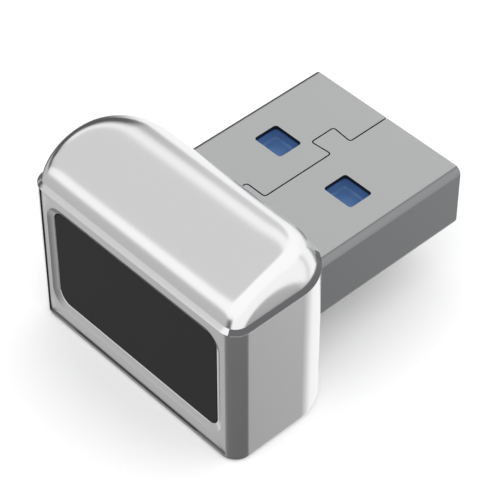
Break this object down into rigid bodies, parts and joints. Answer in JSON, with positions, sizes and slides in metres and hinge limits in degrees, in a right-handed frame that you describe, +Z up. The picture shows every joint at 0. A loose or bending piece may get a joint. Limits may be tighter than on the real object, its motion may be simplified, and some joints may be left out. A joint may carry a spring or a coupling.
{
  "type": "fingerprint scanner terminal",
  "caption": "Small metal USB fingerprint reader: a domed head with a flat touch sensor let into its front face and a USB-A plug with a folded, seamed shell at its rear.",
  "frame": {"origin": "centre of the overall box, on the flat underside of the head", "axes": "+Y is the way the plug goes into a socket (the touch face looks along -Y), +Z up out of the domed top, +X to the right seen from the touch face's side"},
  "size_m": [0.0168, 0.02, 0.0132],
  "materials": {
    "satin_metal": "satin, polished on the dome",
    "plug_steel": "nickel plated, satin",
    "touch_black": "matte coated touch face",
    "tongue_blue": "smooth moulding",
    "holder_plastic": "moulded",
    "contact_metal": "gold plated",
    "board_laminate": "solder resist",
    "chip_plastic": "moulded epoxy",
    "small_ceramic": "plain",
    "crystal_can": "plain",
    "flex_film": "polyimide film",
    "adhesive": "soft bonding tape",
    "carrier_plastic": "moulded"
  },
  "bodies": {
    "root": {"head_shell": "satin_metal", "front_bezel": "satin_metal", "usb_shell": "plug_steel", "rear_collar": "plug_steel", "sensor_window": "touch_black", "usb_insulator": "tongue_blue", "contact_holder": "holder_plastic", "flex_connector": "holder_plastic", "contact_vbus": "contact_metal", "contact_data_minus": "contact_metal", "contact_data_plus": "contact_metal", "contact_ground": "contact_metal", "contact_ss_rx_minus": "contact_metal", "contact_ss_rx_plus": "contact_metal", "contact_drain": "contact_metal", "contact_ss_tx_minus": "contact_metal", "contact_ss_tx_plus": "contact_metal", "ground_spring": "contact_metal", "main_board": "board_laminate", "sensor_board": "board_laminate", "controller_chip": "chip_plastic", "flash_chip": "chip_plastic", "regulator_chip": "chip_plastic", "esd_chip": "chip_plastic", "sensor_package": "chip_plastic", "inductor": "chip_plastic", "capacitors": "small_ceramic", "resistors": "small_ceramic", "crystal": "crystal_can", "sensor_stiffener": "crystal_can", "sensor_flex": "flex_film", "sensor_adhesive": "adhesive", "inner_frame": "carrier_plastic"}
  },
  "joints": []
}
